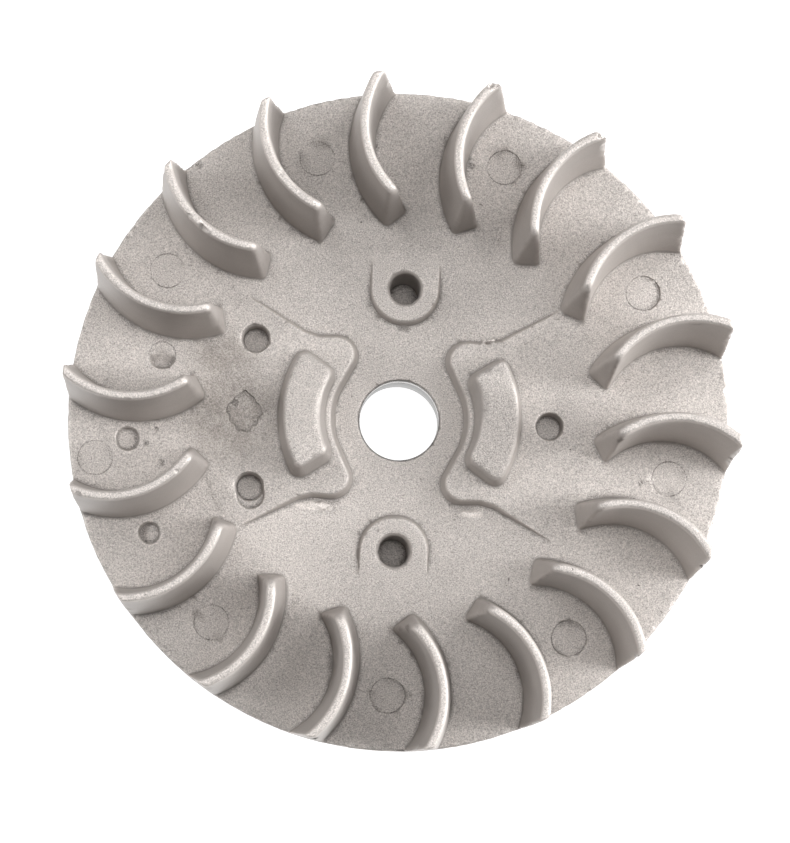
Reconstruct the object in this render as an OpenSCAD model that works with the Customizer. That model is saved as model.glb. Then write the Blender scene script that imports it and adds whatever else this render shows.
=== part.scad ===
// Fan flywheel for a small two-stroke engine, with its magnet group cast into the rim.
// The origin is on the crankshaft axis at the back of the rim, and the blades point to +Z.

/* [Disc] */
// Outer diameter of the disc
disc_d = 100; // [99:0.5:104]
// Height of the flat annulus above the back of the rim
annulus_z = 18; // [18:0.5:20]
// Thickness of the disc under the annulus
disc_t = 4; // [3:0.5:5]
// Thickness of the lip where the disc stands out over the turned rim
disc_edge_t = 2.6; // [1.5:0.1:2.8]
// Radius where the flat annulus ends and the shallow dish begins
dish_r = 30; // [29:0.5:31]
// Depth of the dish floor below the annulus
dish_depth = 3.2; // [2:0.1:3.5]
// Radius of the flat dish floor
dish_floor_r = 12.5; // [11:0.5:14]
// Thickness of the web under the dish floor
web_t = 3.4; // [3:0.1:3.6]

/* [Blades] */
// Number of fan blades
blade_count = 18; // [12:1:20]
// Height of the blades above the annulus
blade_h = 18.5; // [12:0.5:22]
// Thickness of a blade at its root
blade_root_t = 3.9; // [3:0.1:4.4]
// Thickness of a blade at its rounded top
blade_top_t = 1.4; // [1:0.1:2]
// Radius from the crankshaft axis to the centres of the blade arcs
blade_centre_r = 42.5; // [42:0.1:43]
// Radius of a blade's own arc
blade_arc_r = 14.2; // [13.8:0.1:14.6]
// Direction of the first blade's arc centre
blade_phase = 1; // [0:0.5:2]
// Where a blade's arc stops at its inner end
blade_inner_end = 154; // [150:1:156]
// How far the inner end leans back over the blade's height
blade_end_lean = 1.3; // [0:0.1:2]
// Inward lean of the blades' outer ends, over their height
blade_rim_draft = 0.6; // [0:0.1:1]

/* [Face] */
// Distance of a platform's corner nose from the Y axis
nose_x = 9.95; // [9.8:0.05:10.2]
// Distance of a platform's corner nose from the X axis
nose_y = 9.35; // [9:0.05:9.6]
// Radius of a platform's corner nose
nose_r = 2.7; // [2.4:0.1:2.9]
// Radius of the round hollow between a platform's two noses
hollow_r = 10.4; // [10:0.1:10.5]
// Where a platform's long edge begins to run outward
edge_x = 14.3; // [13.5:0.1:15]
// Slope of a platform's long edge
edge_angle = 30.5; // [29:0.5:32]
// Inner radius of a pawl stop
stop_in_r = 11.3; // [11.2:0.1:11.8]
// Outer radius of a pawl stop
stop_out_r = 18.4; // [18:0.1:18.8]
// Half of the angle that a pawl stop spans
stop_half_angle = 34; // [31:0.5:35]
// Radius of a pawl stop's corners, seen from above
stop_corner_r = 1.9; // [1:0.1:2.1]
// Height of a pawl stop at its tall end
stop_tall_h = 7.5; // [5.5:0.1:9]
// Height of a pawl stop at its low end
stop_low_h = 3.9; // [3:0.1:5]
// How far from the X axis the flat top of a pawl stop's tall end begins
stop_flat_y = 5; // [3:0.5:7]
// Draft of a pawl stop's round walls
stop_draft = 6.5; // [4:0.5:9]

/* [Pawl pivots] */
// Distance of each pawl pivot from the crankshaft axis
pivot_r = 20; // [19:0.5:20.5]
// Width of a pivot's pad
pivot_pad_w = 10.4; // [9:0.2:11]
// Height of the pad's face below the annulus
pivot_pad_drop = 0.9; // [0.6:0.1:1.2]
// Core diameter of the pivot thread
pivot_hole_d = 5; // [4.2:0.1:5.5]
// Depth of the pivot hole below its pad
pivot_hole_depth = 12; // [9:0.5:13]

/* [Crankshaft fit] */
// Diameter of the straight bore
crank_bore_d = 12; // [10:0.5:12.5]
// Length of the straight bore in the bush
bush_land = 3; // [2:0.5:4]
// Diameter growth of the taper, as one in this many
taper_ratio = 8; // [6:1:12]
// Width of the keyway
key_w = 3; // [2:0.5:4]
// Depth of the keyway below the straight bore's radius
key_depth = 2; // [1.5:0.1:2.5]
// Outer diameter of the steel bush
bush_d = 20; // [19:0.5:21]
// Thickness of the aluminium lip in front of the bush
lip_t = 2; // [1.5:0.5:2.5]
// Outer diameter of the hub
hub_d = 27; // [26:0.5:28]
// Height of the hub's back face above the back of the rim
hub_back_z = 2; // [1:0.5:3]

/* [Rim] */
// Radius of the turned rim
rim_r = 49.4; // [49:0.1:49.5]
// Wall thickness of the rim
rim_t = 4.8; // [4:0.2:6]
// Number of ribs between the hub and the rim
rib_count = 6; // [4:2:8]
// Thickness of a rib
rib_t = 3; // [2:0.5:4]
// Height of the ribs' lower edges above the back of the rim
rib_z = 5; // [4:0.5:7]
// Inner radius of the balance weight
weight_in_r = 30; // [30:0.5:42]
// Half of the angle that the balance weight spans
weight_half_angle = 50; // [20:1:50]

/* [Magnet group] */
// Direction of the magnet group
magnet_angle = 187; // [186:0.5:188]
// Number of steel sheets in each pole shoe
sheet_count = 12; // [6:1:12]
// Thickness of one sheet
sheet_t = 1; // [0.5:0.1:1]
// Height of the lowest sheet above the back of the rim
stack_z = 3; // [2.5:0.5:3]
// Length of the magnet, from shoe to shoe
magnet_l = 15; // [13:0.5:16]
// Distance from the crankshaft axis to the magnet's inner face
magnet_in = 38; // [37:0.5:39]
// Thickness of the magnet along the radius
magnet_w = 7; // [6:0.5:7]
// Diameter of the rivets
rivet_d = 2.5; // [2:0.1:3]

/* [Hidden] */
$fn = 96;
SHEETS = [for (i = [1:sheet_count]) i];

slack = 1;
disc_r = disc_d / 2;
disc_back_z = annulus_z - disc_t;
edge_back_z = annulus_z - disc_edge_t;
floor_z = annulus_z - dish_depth;
web_back_z = floor_z - web_t;
hub_r = hub_d / 2;
rim_in_r = rim_r - rim_t;

blade_top_r = blade_top_t / 2;
blade_root_r = blade_root_t / 2;
blade_root_z = annulus_z - slack;
blade_top_z = annulus_z + blade_h;
blade_crown_z = blade_top_z - blade_top_r / 2;
blade_slope = (blade_root_r - blade_top_r) / (blade_h - blade_top_r);
blade_foot_r = blade_root_r + slack * blade_slope;
blade_outer_end = 55;
blade_end_tilt = atan(blade_end_lean / (blade_h + slack));

// The straight flank between a nose and the hollow runs on to this point inside the hollow
throat_x = 9;
throat_y = 3.6;

pad_r = pivot_pad_w / 2;
pad_z = annulus_z - pivot_pad_drop;
pivot_boss_r = 5.5;
pivot_boss_z = 4;
chamfer = 0.5;

bore_r = crank_bore_d / 2;
bush_r = bush_d / 2;
bush_top_z = floor_z - lip_t;
taper_z = bush_top_z - bush_land;
taper_r = bore_r + (taper_z - hub_back_z) / taper_ratio / 2;
groove_depth = 1;
groove_z = hub_back_z + 4;
groove_h = 3;

stack_h = sheet_count * sheet_t;
stack_top_z = stack_z + stack_h;
housing_in_r = 33;
housing_half_angle = 29;
shoe_in = 35;
shoe_tip = 6;
shoe_side = 21;
rivet_r = rivet_d / 2;
rivet_head_r = 2.1;
rivet_head_t = 0.8;
RIVET_SPOTS = [[38.8, 11.6], [44.2, 14.2]];

// [radius from the axis, direction, diameter] of the blind holes cored in the face
CORED_HOLES = [[22.7, -0.4, 4], [24.9, 153.4, 4], [24.9, 206.9, 4]];
cored_depth = 4;
// The same for the shallow step that a second core leaves beside the last of them
STEP_HOLES = [[25.3, 209.7, 4]];
step_depth = 1.2;
// The same for the shallow marks of the casting die's locating pins above the magnet group
PIN_MARKS = [[37.1, 167.7, 3.8], [41.1, 186.9, 3.3], [41.4, 207.3, 3]];
pin_mark_depth = 1;
// The same for the marks of the casting die's ejectors, between the blades
EJECTOR_MARKS = [for (i = [0:8]) [i == 4 ? 46.2 : 41.7, 30 + 40 * i, 5.2]];
ejector_mark_depth = 0.2;
// Corners of the shallow patch where the casting was broken off its gate
GATE_CORNERS = [[-23.4, 2.9], [-26.1, -0.3], [-22.5, -3.2], [-20.9, 0.7]];
gate_depth = 0.25;

// A pie slice around the X axis, from the origin out to radius r
module slice(half_angle, r) {
    far = r / cos(half_angle);
    polygon([[0, 0], far * [cos(half_angle), -sin(half_angle)], far * [cos(half_angle), sin(half_angle)]]);
}

// A flat ring from radius r_in to r_out
module ring(r_in, r_out) {
    difference() {
        circle(r_out);
        circle(r_in);
    }
}

// The section of the disc, hub and rim, turned about the crankshaft axis
module wheel_section() {
    polygon([
        [bore_r, floor_z], [dish_floor_r, floor_z], [dish_r, annulus_z], [disc_r, annulus_z],
        [disc_r, edge_back_z], [rim_r, edge_back_z], [rim_r, 0], [rim_in_r, 0],
        [rim_in_r, disc_back_z], [dish_r, disc_back_z], [hub_r, web_back_z],
        [hub_r, hub_back_z], [bore_r, hub_back_z]
    ]);
}

// Everything in front of the middle of the disc's thickness
module front_space() {
    web_middle_z = floor_z - web_t / 2;
    disc_middle_z = annulus_z - disc_t / 2;
    rotate_extrude() polygon([
        [0, web_middle_z], [dish_floor_r, web_middle_z], [dish_r, disc_middle_z], [disc_r, disc_middle_z],
        [disc_r, blade_top_z], [0, blade_top_z]
    ]);
}

// One blade: a drafted wall swept along an arc, with a flat inner end that leans back
module blade() {
    half = [[blade_foot_r, blade_root_z], [blade_top_r, blade_crown_z], [blade_top_r / 2, blade_top_z]];
    other_half = [for (i = [2:-1:0]) [-half[i].x, half[i].y]];
    translate([blade_centre_r, 0, 0]) difference() {
        rotate(blade_outer_end) rotate_extrude(angle = blade_inner_end - blade_outer_end)
            translate([blade_arc_r, 0]) polygon(concat(half, other_half));
        rotate(blade_inner_end) translate([blade_arc_r, 0, blade_root_z]) rotate([blade_end_tilt, 0, 0])
            translate([-blade_root_t, 0, -slack]) cube([2 * blade_root_t, blade_root_t, blade_h + 4 * slack]);
    }
}

module blades() {
    intersection() {
        for (i = [0:blade_count - 1])
            rotate(blade_phase + i * 360 / blade_count) blade();
        translate([0, 0, blade_root_z])
            cylinder(h = blade_h + 2 * slack, r1 = disc_r, r2 = disc_r - blade_rim_draft);
    }
}

// One raised platform on the +X side of the dish, level with the annulus
module platform() {
    reach = dish_r + slack;
    edge_y = nose_y + nose_r;
    far_y = edge_y + (reach - edge_x) * tan(edge_angle);
    nose_side = nose_x - nose_r + 0.3;
    translate([0, 0, web_back_z]) linear_extrude(annulus_z - web_back_z) intersection() {
        circle(reach);
        difference() {
            union() {
                for (side = [-1, 1]) {
                    polygon([
                        [throat_x, 0], [throat_x, side * throat_y], [nose_side, side * (nose_y - 1.2)],
                        [nose_x, side * edge_y], [edge_x, side * edge_y], [reach, side * far_y], [reach, 0]
                    ]);
                    translate([nose_x, side * nose_y]) circle(nose_r);
                }
            }
            circle(hollow_r);
        }
    }
}

// A ring slice around the X axis with round corners
module round_slice(r_in, r_out, half_angle, corner_r) {
    in_turn = asin(corner_r / (r_in + corner_r));
    out_turn = asin(corner_r / (r_out - corner_r));
    intersection() {
        ring(r_in, r_out);
        slice(half_angle - out_turn, r_out);
        slice(half_angle - in_turn, r_out);
    }
    intersection() {
        ring(r_in + corner_r, r_out - corner_r);
        slice(half_angle, r_out);
    }
    for (side = [-1, 1]) {
        rotate(side * (half_angle - in_turn)) translate([r_in + corner_r, 0]) circle(corner_r);
        rotate(side * (half_angle - out_turn)) translate([r_out - corner_r, 0]) circle(corner_r);
    }
    intersection() {
        ring(r_in + corner_r, r_out);
        slice(half_angle - out_turn, r_out);
    }
}

// One pawl stop on the +X platform: a drafted kidney, tall and flat at +Y, sloping down to -Y
module pawl_stop() {
    root_z = annulus_z - slack;
    span = stop_out_r * sin(stop_half_angle);
    tilt = atan((stop_tall_h - stop_low_h) / (span + stop_flat_y));
    draft = (stop_tall_h + slack) * tan(stop_draft);
    intersection() {
        translate([0, 0, root_z]) linear_extrude(stop_tall_h + slack)
            round_slice(stop_in_r, stop_out_r, stop_half_angle, stop_corner_r);
        rotate_extrude() polygon([
            [stop_in_r, root_z], [stop_out_r, root_z],
            [stop_out_r - draft, root_z + stop_tall_h + slack],
            [stop_in_r + draft, root_z + stop_tall_h + slack]
        ]);
        translate([0, stop_flat_y, annulus_z + stop_tall_h]) rotate([tilt, 0, 0])
            translate([0, -disc_r, -disc_r]) cube([disc_r, disc_d, disc_r]);
    }
}

// One pawl pivot pad on the +X axis, open toward the rim
module pivot_pad() {
    translate([pivot_r, 0, web_back_z]) {
        cylinder(h = pad_z - web_back_z, r = pad_r);
        translate([0, -pad_r, 0]) cube([dish_r - pivot_r, pivot_pad_w, pad_z - web_back_z]);
    }
}

// The boss behind one pivot pad, deep enough for its thread
module pivot_boss() {
    translate([pivot_r, 0, pivot_boss_z]) cylinder(h = disc_back_z - pivot_boss_z, r = pivot_boss_r);
}

module pivot_hole() {
    translate([pivot_r, 0, pad_z - pivot_hole_depth]) cylinder(h = pivot_hole_depth + slack, d = pivot_hole_d);
    translate([pivot_r, 0, pad_z - chamfer])
        cylinder(h = 2 * chamfer, d1 = pivot_hole_d, d2 = pivot_hole_d + 4 * chamfer);
}

// Ribs from the hub to the rim behind the disc
module ribs() {
    intersection() {
        for (i = [0:rib_count - 1])
            rotate(30 + i * 360 / rib_count) translate([hub_r - slack, -rib_t / 2, rib_z])
                cube([rim_in_r - hub_r + 2 * slack, rib_t, disc_back_z + slack - rib_z]);
        rotate_extrude() polygon([
            [0, 0], [rim_r, 0], [rim_r, disc_back_z + slack], [dish_r, disc_back_z + slack],
            [hub_r, web_back_z + slack], [0, web_back_z + slack]
        ]);
    }
}

// A thick stretch of the rim around the X axis, from radius r_in outward
module rim_block(r_in, half_angle) {
    linear_extrude(disc_back_z + slack) intersection() {
        ring(r_in, rim_r - slack);
        slice(half_angle, rim_r);
    }
}

// Steel bush with a straight land, a taper and a keyway
module bush_body() {
    rotate_extrude() polygon([
        [0, hub_back_z], [bush_r, hub_back_z], [bush_r, groove_z], [bush_r - groove_depth, groove_z],
        [bush_r - groove_depth, groove_z + groove_h], [bush_r, groove_z + groove_h],
        [bush_r, bush_top_z], [0, bush_top_z]
    ]);
}

module hub_bush() {
    color("dimgray") difference() {
        bush_body();
        translate([0, 0, taper_z - slack]) cylinder(h = bush_land + 2 * slack, r = bore_r);
        rotate_extrude() polygon([
            [0, hub_back_z - slack], [taper_r, hub_back_z - slack], [taper_r, hub_back_z],
            [bore_r, taper_z], [0, taper_z]
        ]);
        translate([0, -key_w / 2, hub_back_z - slack])
            cube([bore_r + key_depth, key_w, taper_z - hub_back_z + slack]);
    }
}

// Outline of one pole shoe out to radius r, in the magnet group's own frame
module shoe_outline(r) {
    half_l = magnet_l / 2;
    magnet_out = magnet_in + magnet_w;
    reach = disc_r + slack;
    intersection() {
        polygon([
            [shoe_in, half_l], [magnet_out, half_l], [magnet_out + half_l - shoe_tip, shoe_tip],
            [reach, shoe_tip], [reach, shoe_side], [magnet_out, shoe_side], [shoe_in, 16.5]
        ]);
        circle(r);
    }
}

module rivet_spots() {
    for (spot = RIVET_SPOTS) translate(spot) children();
}

// One sheet of a shoe: side is -1 for the leading shoe and 1 for the trailing shoe
module sheet(side, i) {
    color("slategray") rotate(magnet_angle) mirror([0, side < 0 ? 1 : 0, 0])
        translate([0, 0, stack_z + (i - 1) * sheet_t]) difference() {
            linear_extrude(sheet_t) shoe_outline(rim_r);
            rivet_spots() translate([0, 0, -slack]) cylinder(h = sheet_t + 2 * slack, r = rivet_r);
        }
}

module rivets() {
    rivet_spots() {
        translate([0, 0, stack_z - rivet_head_t]) cylinder(h = stack_h + 2 * rivet_head_t, r = rivet_r);
        translate([0, 0, stack_z - rivet_head_t]) cylinder(h = rivet_head_t, r = rivet_head_r);
        translate([0, 0, stack_top_z]) cylinder(h = rivet_head_t, r = rivet_head_r);
    }
}

module shoe_rivets() {
    color("silver") rotate(magnet_angle) for (side = [0, 1]) mirror([0, side, 0]) rivets();
}

module magnet() {
    color("#3a3a3c") rotate(magnet_angle) translate([magnet_in, -magnet_l / 2, stack_z])
        cube([magnet_w, magnet_l, stack_h]);
}

// The room that the magnet group takes in the casting
module magnet_group_room() {
    rotate(magnet_angle) {
        for (side = [0, 1]) mirror([0, side, 0]) {
            translate([0, 0, stack_z]) linear_extrude(stack_h) shoe_outline(rim_r + slack);
            rivets();
        }
        translate([magnet_in, -magnet_l / 2, stack_z]) cube([magnet_w, magnet_l, stack_h]);
    }
}

// Round holes given as [radius from the axis, direction, diameter], cut down to bottom_z
module face_holes(holes, bottom_z) {
    for (hole = holes)
        rotate(hole[1]) translate([hole[0], 0, bottom_z])
            cylinder(h = annulus_z - bottom_z + slack, d = hole[2]);
}

module fan_casting() {
    color("#b9b2ae") difference() {
        union() {
            difference() {
                rotate_extrude() wheel_section();
                face_holes(EJECTOR_MARKS, annulus_z - ejector_mark_depth);
                face_holes(PIN_MARKS, annulus_z - pin_mark_depth);
            }
            blades();
            for (turn = [0, 180]) rotate(turn) {
                intersection() {
                    front_space();
                    union() {
                        platform();
                        rotate(90) pivot_pad();
                    }
                }
                pawl_stop();
                rotate(90) pivot_boss();
            }
            ribs();
            rotate(magnet_angle) rim_block(housing_in_r, housing_half_angle);
            rotate(magnet_angle + 180) rim_block(weight_in_r, weight_half_angle);
        }
        bush_body();
        translate([0, 0, bush_top_z - slack]) cylinder(h = lip_t + 2 * slack, r = bore_r);
        magnet_group_room();
        for (turn = [90, 270]) rotate(turn) pivot_hole();
        face_holes(CORED_HOLES, annulus_z - cored_depth);
        face_holes(STEP_HOLES, annulus_z - step_depth);
        translate([0, 0, annulus_z - gate_depth]) linear_extrude(slack) polygon(GATE_CORNERS);
    }
}

fan_casting();
hub_bush();
magnet();
shoe_rivets();
for (i = SHEETS) {
    sheet(-1, i);
    sheet(1, i);
}
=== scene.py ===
import math

import bpy
import numpy as np
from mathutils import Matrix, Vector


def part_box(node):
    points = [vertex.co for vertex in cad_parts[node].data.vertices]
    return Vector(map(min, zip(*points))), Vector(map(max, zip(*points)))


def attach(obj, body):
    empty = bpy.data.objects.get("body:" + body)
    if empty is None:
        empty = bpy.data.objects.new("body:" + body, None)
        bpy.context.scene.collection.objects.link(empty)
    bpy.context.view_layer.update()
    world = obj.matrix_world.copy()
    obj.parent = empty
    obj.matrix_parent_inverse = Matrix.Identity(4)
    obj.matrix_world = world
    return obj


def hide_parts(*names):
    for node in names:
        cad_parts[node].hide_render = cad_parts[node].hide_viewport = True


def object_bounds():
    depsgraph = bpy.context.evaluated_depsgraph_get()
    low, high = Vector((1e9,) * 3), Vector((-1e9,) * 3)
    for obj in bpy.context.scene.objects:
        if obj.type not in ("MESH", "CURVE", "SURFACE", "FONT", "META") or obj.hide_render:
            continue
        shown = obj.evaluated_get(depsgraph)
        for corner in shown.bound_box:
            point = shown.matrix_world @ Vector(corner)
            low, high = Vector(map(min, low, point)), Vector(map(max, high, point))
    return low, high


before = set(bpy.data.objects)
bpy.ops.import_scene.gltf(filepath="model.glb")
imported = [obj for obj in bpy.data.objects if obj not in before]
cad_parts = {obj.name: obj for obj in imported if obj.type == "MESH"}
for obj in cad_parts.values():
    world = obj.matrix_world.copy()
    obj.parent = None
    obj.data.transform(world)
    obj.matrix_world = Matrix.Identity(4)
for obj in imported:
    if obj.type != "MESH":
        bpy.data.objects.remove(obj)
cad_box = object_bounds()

import openvdb
from mathutils import Matrix, Vector

MM = 0.001  # metres in a millimetre; lengths below are in millimetres until a mesh is made
DEG = math.pi / 180
VOXEL = 0.22  # spacing of the grid that the casting is made on

# ---------------------------------------------------------------- sizes

LOW, HIGH = [[c / MM for c in corner] for corner in cad_box]
DISC_R = (HIGH[0] - LOW[0]) / 2
BLADE_TOP_Z = HIGH[2]
MAGNET_LOW, MAGNET_HIGH = [[c / MM for c in corner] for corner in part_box("magnet")]
BUSH_LOW, BUSH_HIGH = [[c / MM for c in corner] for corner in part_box("hub_bush")]
STACK_Z, STACK_TOP_Z = MAGNET_LOW[2], MAGNET_HIGH[2]

BLADE_H = 18.5
ANNULUS_Z = BLADE_TOP_Z - BLADE_H
DISH_R = 30.0
DISH_FLOOR_R = 12.5
DISH_DEPTH = 3.2
FLOOR_Z = ANNULUS_Z - DISH_DEPTH
DISC_T = 4.0
EDGE_T = 2.6
WEB_T = 3.4
DISC_BACK_Z = ANNULUS_Z - DISC_T
EDGE_BACK_Z = ANNULUS_Z - EDGE_T
WEB_BACK_Z = FLOOR_Z - WEB_T
BEHIND_FACE_Z = FLOOR_Z - 3

BLADE_COUNT = 18
BLADE_PHASE = 1.0
BLADE_CENTRE_R = 42.5
BLADE_ARC_R = 14.2
BLADE_ROOT_T = 3.9
BLADE_TOP_T = 1.4
BLADE_INNER_END = 154.0
BLADE_END_LEAN = 1.3
BLADE_END_TURN = 15.0
BLADE_RIM_DRAFT = 0.6

NOSE_X, NOSE_Y, NOSE_R = 9.95, 9.35, 2.7
HOLLOW_R = 10.4
EDGE_X = 14.3
EDGE_ANGLE = 30.5
PLATFORM_DRAFT = 11.0
STOP_IN_R, STOP_OUT_R = 11.3, 18.4
STOP_HALF_ANGLE = 34.0
STOP_TALL_H, STOP_LOW_H = 7.5, 3.9
STOP_FLAT_Y = 5.0
STOP_CORNER_R = 1.9
STOP_DRAFT = 6.5

PIVOT_R = 20.0
PAD_R = 5.2
PAD_Z = ANNULUS_Z - 0.9
PAD_DRAFT = 9.0
PIVOT_HOLE_R = 2.5
PIVOT_HOLE_DEPTH = 12.0
PIVOT_BOSS_R = 5.3
PIVOT_BOSS_Z = 4.0

BORE_R = 6.0
HUB_R = 13.5
HUB_BACK_Z = BUSH_LOW[2]
BUSH_R = BUSH_HIGH[0]
BUSH_TOP_Z = BUSH_HIGH[2]
RIM_R = 49.4
RIM_IN_R = 44.6
RIB_COUNT = 6
RIB_T = 3.0
RIB_Z = 5.0

MAGNET_ANGLE = 187.0
MAGNET_IN, MAGNET_W, MAGNET_L = 38.0, 7.0, 15.0
SHOE_IN = 35.0
SHEET_T = 1.0
SHEET_COUNT = 12
RIVET_R = 1.25
RIVET_HEAD_T = 0.8
RIVET_SPOTS = [(38.8, 11.6), (44.2, 14.2)]

# A rivet head from its middle outward, as (radius, distance below its top)
RIVET_DOME = [(0.5, 0), (1.1, 0.05), (1.6, 0.18), (1.92, 0.38), (2.08, 0.62), (2.1, 0.78)]

# Thick stretches of the rim round the magnet group and opposite it, as (inner radius, half angle, direction)
RIM_BLOCKS = [(33, 29, MAGNET_ANGLE), (30, 50, MAGNET_ANGLE - 180)]

# ---------------------------------------------------------------- signed distances


def smooth_min(a, b, k):
    """The smaller of two distances, with a fillet of about k where they meet."""
    h = np.maximum(k - np.abs(a - b), 0)
    return np.minimum(a, b) - h * h / (4 * k)


def smooth_max(a, b, k):
    """The larger of two distances, with an edge rounded over about k."""
    h = np.maximum(k - np.abs(a - b), 0)
    return np.maximum(a, b) + h * h / (4 * k)


def round_corner(a, b, r):
    """The larger of two distances, with an exact corner of radius r where they meet at a right angle."""
    inside = np.maximum(a, b)
    both = (a > -r) & (b > -r)
    return np.where(both, np.hypot(a + r, b + r) - r, inside)


def turned(x, y, degrees):
    """Coordinates in a frame turned by that angle about Z."""
    c, s = np.float32(math.cos(degrees * DEG)), np.float32(math.sin(degrees * DEG))
    return x * c + y * s, y * c - x * s


def outline_distance(points, x, y):
    """Signed distance to a closed outline, negative inside."""
    nearest = np.full(np.broadcast(x, y).shape, np.inf, np.float32)
    inside = np.zeros(nearest.shape, bool)
    for (x0, y0), (x1, y1) in zip(points, points[1:] + points[:1]):
        ex, ey = x1 - x0, y1 - y0
        along = np.clip(((x - x0) * ex + (y - y0) * ey) / (ex * ex + ey * ey), 0, 1)
        nearest = np.minimum(nearest, (x - x0 - along * ex) ** 2 + (y - y0 - along * ey) ** 2)
        if ey:
            crosses = (y0 > y) != (y1 > y)
            inside ^= crosses & (x < x0 + (y - y0) * ex / ey)
    return np.where(inside, -1, 1).astype(np.float32) * np.sqrt(nearest)


def polar(r, degrees):
    """The point at that distance and direction from the axis."""
    return r * math.cos(degrees * DEG), r * math.sin(degrees * DEG)


def arc_points(cx, cy, r, start, end, count):
    """Points along an arc, from one angle to another, in degrees."""
    angles = [start + (end - start) * i / (count - 1) for i in range(count)]
    return [(cx + r * math.cos(a * DEG), cy + r * math.sin(a * DEG)) for a in angles]


def noise_grid(shape, cells, seed):
    """Smooth random values between about -1 and 1 on a grid, from random values at every so many cells."""
    rng = np.random.default_rng(seed)
    coarse = [max(2, int(math.ceil(n / cells)) + 3) for n in shape]
    values = rng.uniform(-1, 1, coarse).astype(np.float32)
    for axis, n in enumerate(shape):
        at = np.arange(n, dtype=np.float32) / cells
        i = at.astype(int)
        t = at - i
        t = t * t * (3 - 2 * t)
        t = t.reshape([-1 if a == axis else 1 for a in range(len(shape))])
        values = np.take(values, i, axis) * (1 - t) + np.take(values, i + 1, axis) * t
    return values


class Grid:
    """A block of space, in millimetres, with a distance at every voxel."""

    def __init__(self, low, high, voxel):
        self.low, self.voxel = np.array(low, np.float32), voxel
        sizes = [int(math.ceil((b - a) / voxel)) + 1 for a, b in zip(low, high)]
        self.x, self.y, self.z = [
            (low[axis] + voxel * np.arange(n, dtype=np.float32)).reshape(
                [-1 if a == axis else 1 for a in range(3)]
            )
            for axis, n in enumerate(sizes)
        ]
        self.shape = tuple(sizes)
        self.d = None

    def block(self, low, high):
        """Slices and coordinates of the part of the grid between two corners."""
        cuts = []
        for axis, (a, b) in enumerate(zip(low, high)):
            first = max(0, int((a - self.low[axis]) / self.voxel))
            last = min(self.shape[axis], int((b - self.low[axis]) / self.voxel) + 2)
            cuts.append(slice(first, last))
        return tuple(cuts), self.x[cuts[0]], self.y[:, cuts[1]], self.z[:, :, cuts[2]]

    def add(self, low, high, shape, k):
        """Joins a shape to the solid inside a block, with a fillet of about k."""
        cuts, x, y, z = self.block(low, high)
        self.d[cuts] = smooth_min(self.d[cuts], shape(x, y, z), k)

    def cut(self, low, high, shape, k):
        """Takes a shape out of the solid inside a block, with edges rounded over about k."""
        cuts, x, y, z = self.block(low, high)
        self.d[cuts] = smooth_max(self.d[cuts], -shape(x, y, z), k)

    def sample(self, points):
        """The distance at any points inside the grid."""
        at = (points - self.low) / self.voxel
        at = np.clip(at, 0, np.array(self.shape) - 1.001)
        i = at.astype(int)
        f = (at - i).astype(np.float32)
        total = np.zeros(len(points), np.float32)
        for corner in range(8):
            bits = [(corner >> axis) & 1 for axis in range(3)]
            weight = np.ones(len(points), np.float32)
            for axis, bit in enumerate(bits):
                weight *= f[:, axis] if bit else 1 - f[:, axis]
            total += weight * self.d[i[:, 0] + bits[0], i[:, 1] + bits[1], i[:, 2] + bits[2]]
        return total

    def curvature(self, points, reach):
        """How sharply the solid bends at points on its surface: above 0 on edges, below 0 in corners."""
        total = -6 * self.sample(points)
        for axis in range(3):
            for sign in (-1, 1):
                step = np.zeros(3, np.float32)
                step[axis] = sign * reach
                total += self.sample(points + step)
        return total / reach

    def normals(self, points):
        """Directions straight out of the solid at points on its surface."""
        slopes = np.zeros((len(points), 3), np.float32)
        for axis in range(3):
            step = np.zeros(3, np.float32)
            step[axis] = self.voxel * 0.75
            slopes[:, axis] = self.sample(points + step) - self.sample(points - step)
        return slopes / np.maximum(np.linalg.norm(slopes, axis=1, keepdims=True), 1e-6)

    def to_object(self, name, adaptivity):
        """A mesh object of the solid's surface, with its bends in an attribute."""
        band = 3 * self.voxel
        grid = openvdb.FloatGrid(band)
        grid.copyFromArray(np.ascontiguousarray(np.clip(self.d, -band, band)))
        points, triangles, quads = grid.convertToPolygons(isovalue=0.0, adaptivity=adaptivity)
        points = points * np.float32(self.voxel) + self.low
        faces = [tuple(f) for f in triangles] + [tuple(f) for f in quads]
        mesh = bpy.data.meshes.new(name)
        mesh.from_pydata([tuple(p) for p in (points * MM)], [], faces)
        mesh.update()
        bend = mesh.attributes.new("bend", "FLOAT", "POINT")
        bend.data.foreach_set("value", self.curvature(points, 0.5))
        mesh.shade_smooth()
        mesh.normals_split_custom_set_from_vertices(self.normals(points))
        piece = bpy.data.objects.new(name, mesh)
        bpy.context.scene.collection.objects.link(piece)
        return piece


# ---------------------------------------------------------------- the casting's shape


def drafted(outline, z, z_ref, degrees):
    """Distance to a wall whose outline at z_ref shrinks upward with the draft."""
    slope = np.float32(math.tan(degrees * DEG))
    return (outline + (z - np.float32(z_ref)) * slope) * np.float32(math.cos(degrees * DEG))


def disc_top(r):
    """Height of the disc's face: a flat floor, a cone and the flat annulus."""
    rise = (r - DISH_FLOOR_R) / (DISH_R - DISH_FLOOR_R)
    rise = smooth_max(smooth_min(rise, np.float32(1), 0.12), np.float32(0), 0.16)
    return FLOOR_Z + DISH_DEPTH * rise


def disc_back(r):
    """Height of the disc's back: it follows the dish."""
    rise = np.clip((r - HUB_R) / (DISH_R - HUB_R), 0, 1)
    return WEB_BACK_Z + (DISC_BACK_Z - WEB_BACK_Z) * rise


def disc_middle(r):
    """Height halfway between the disc's face and back."""
    return (disc_top(r) + disc_back(r)) / 2


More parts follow.
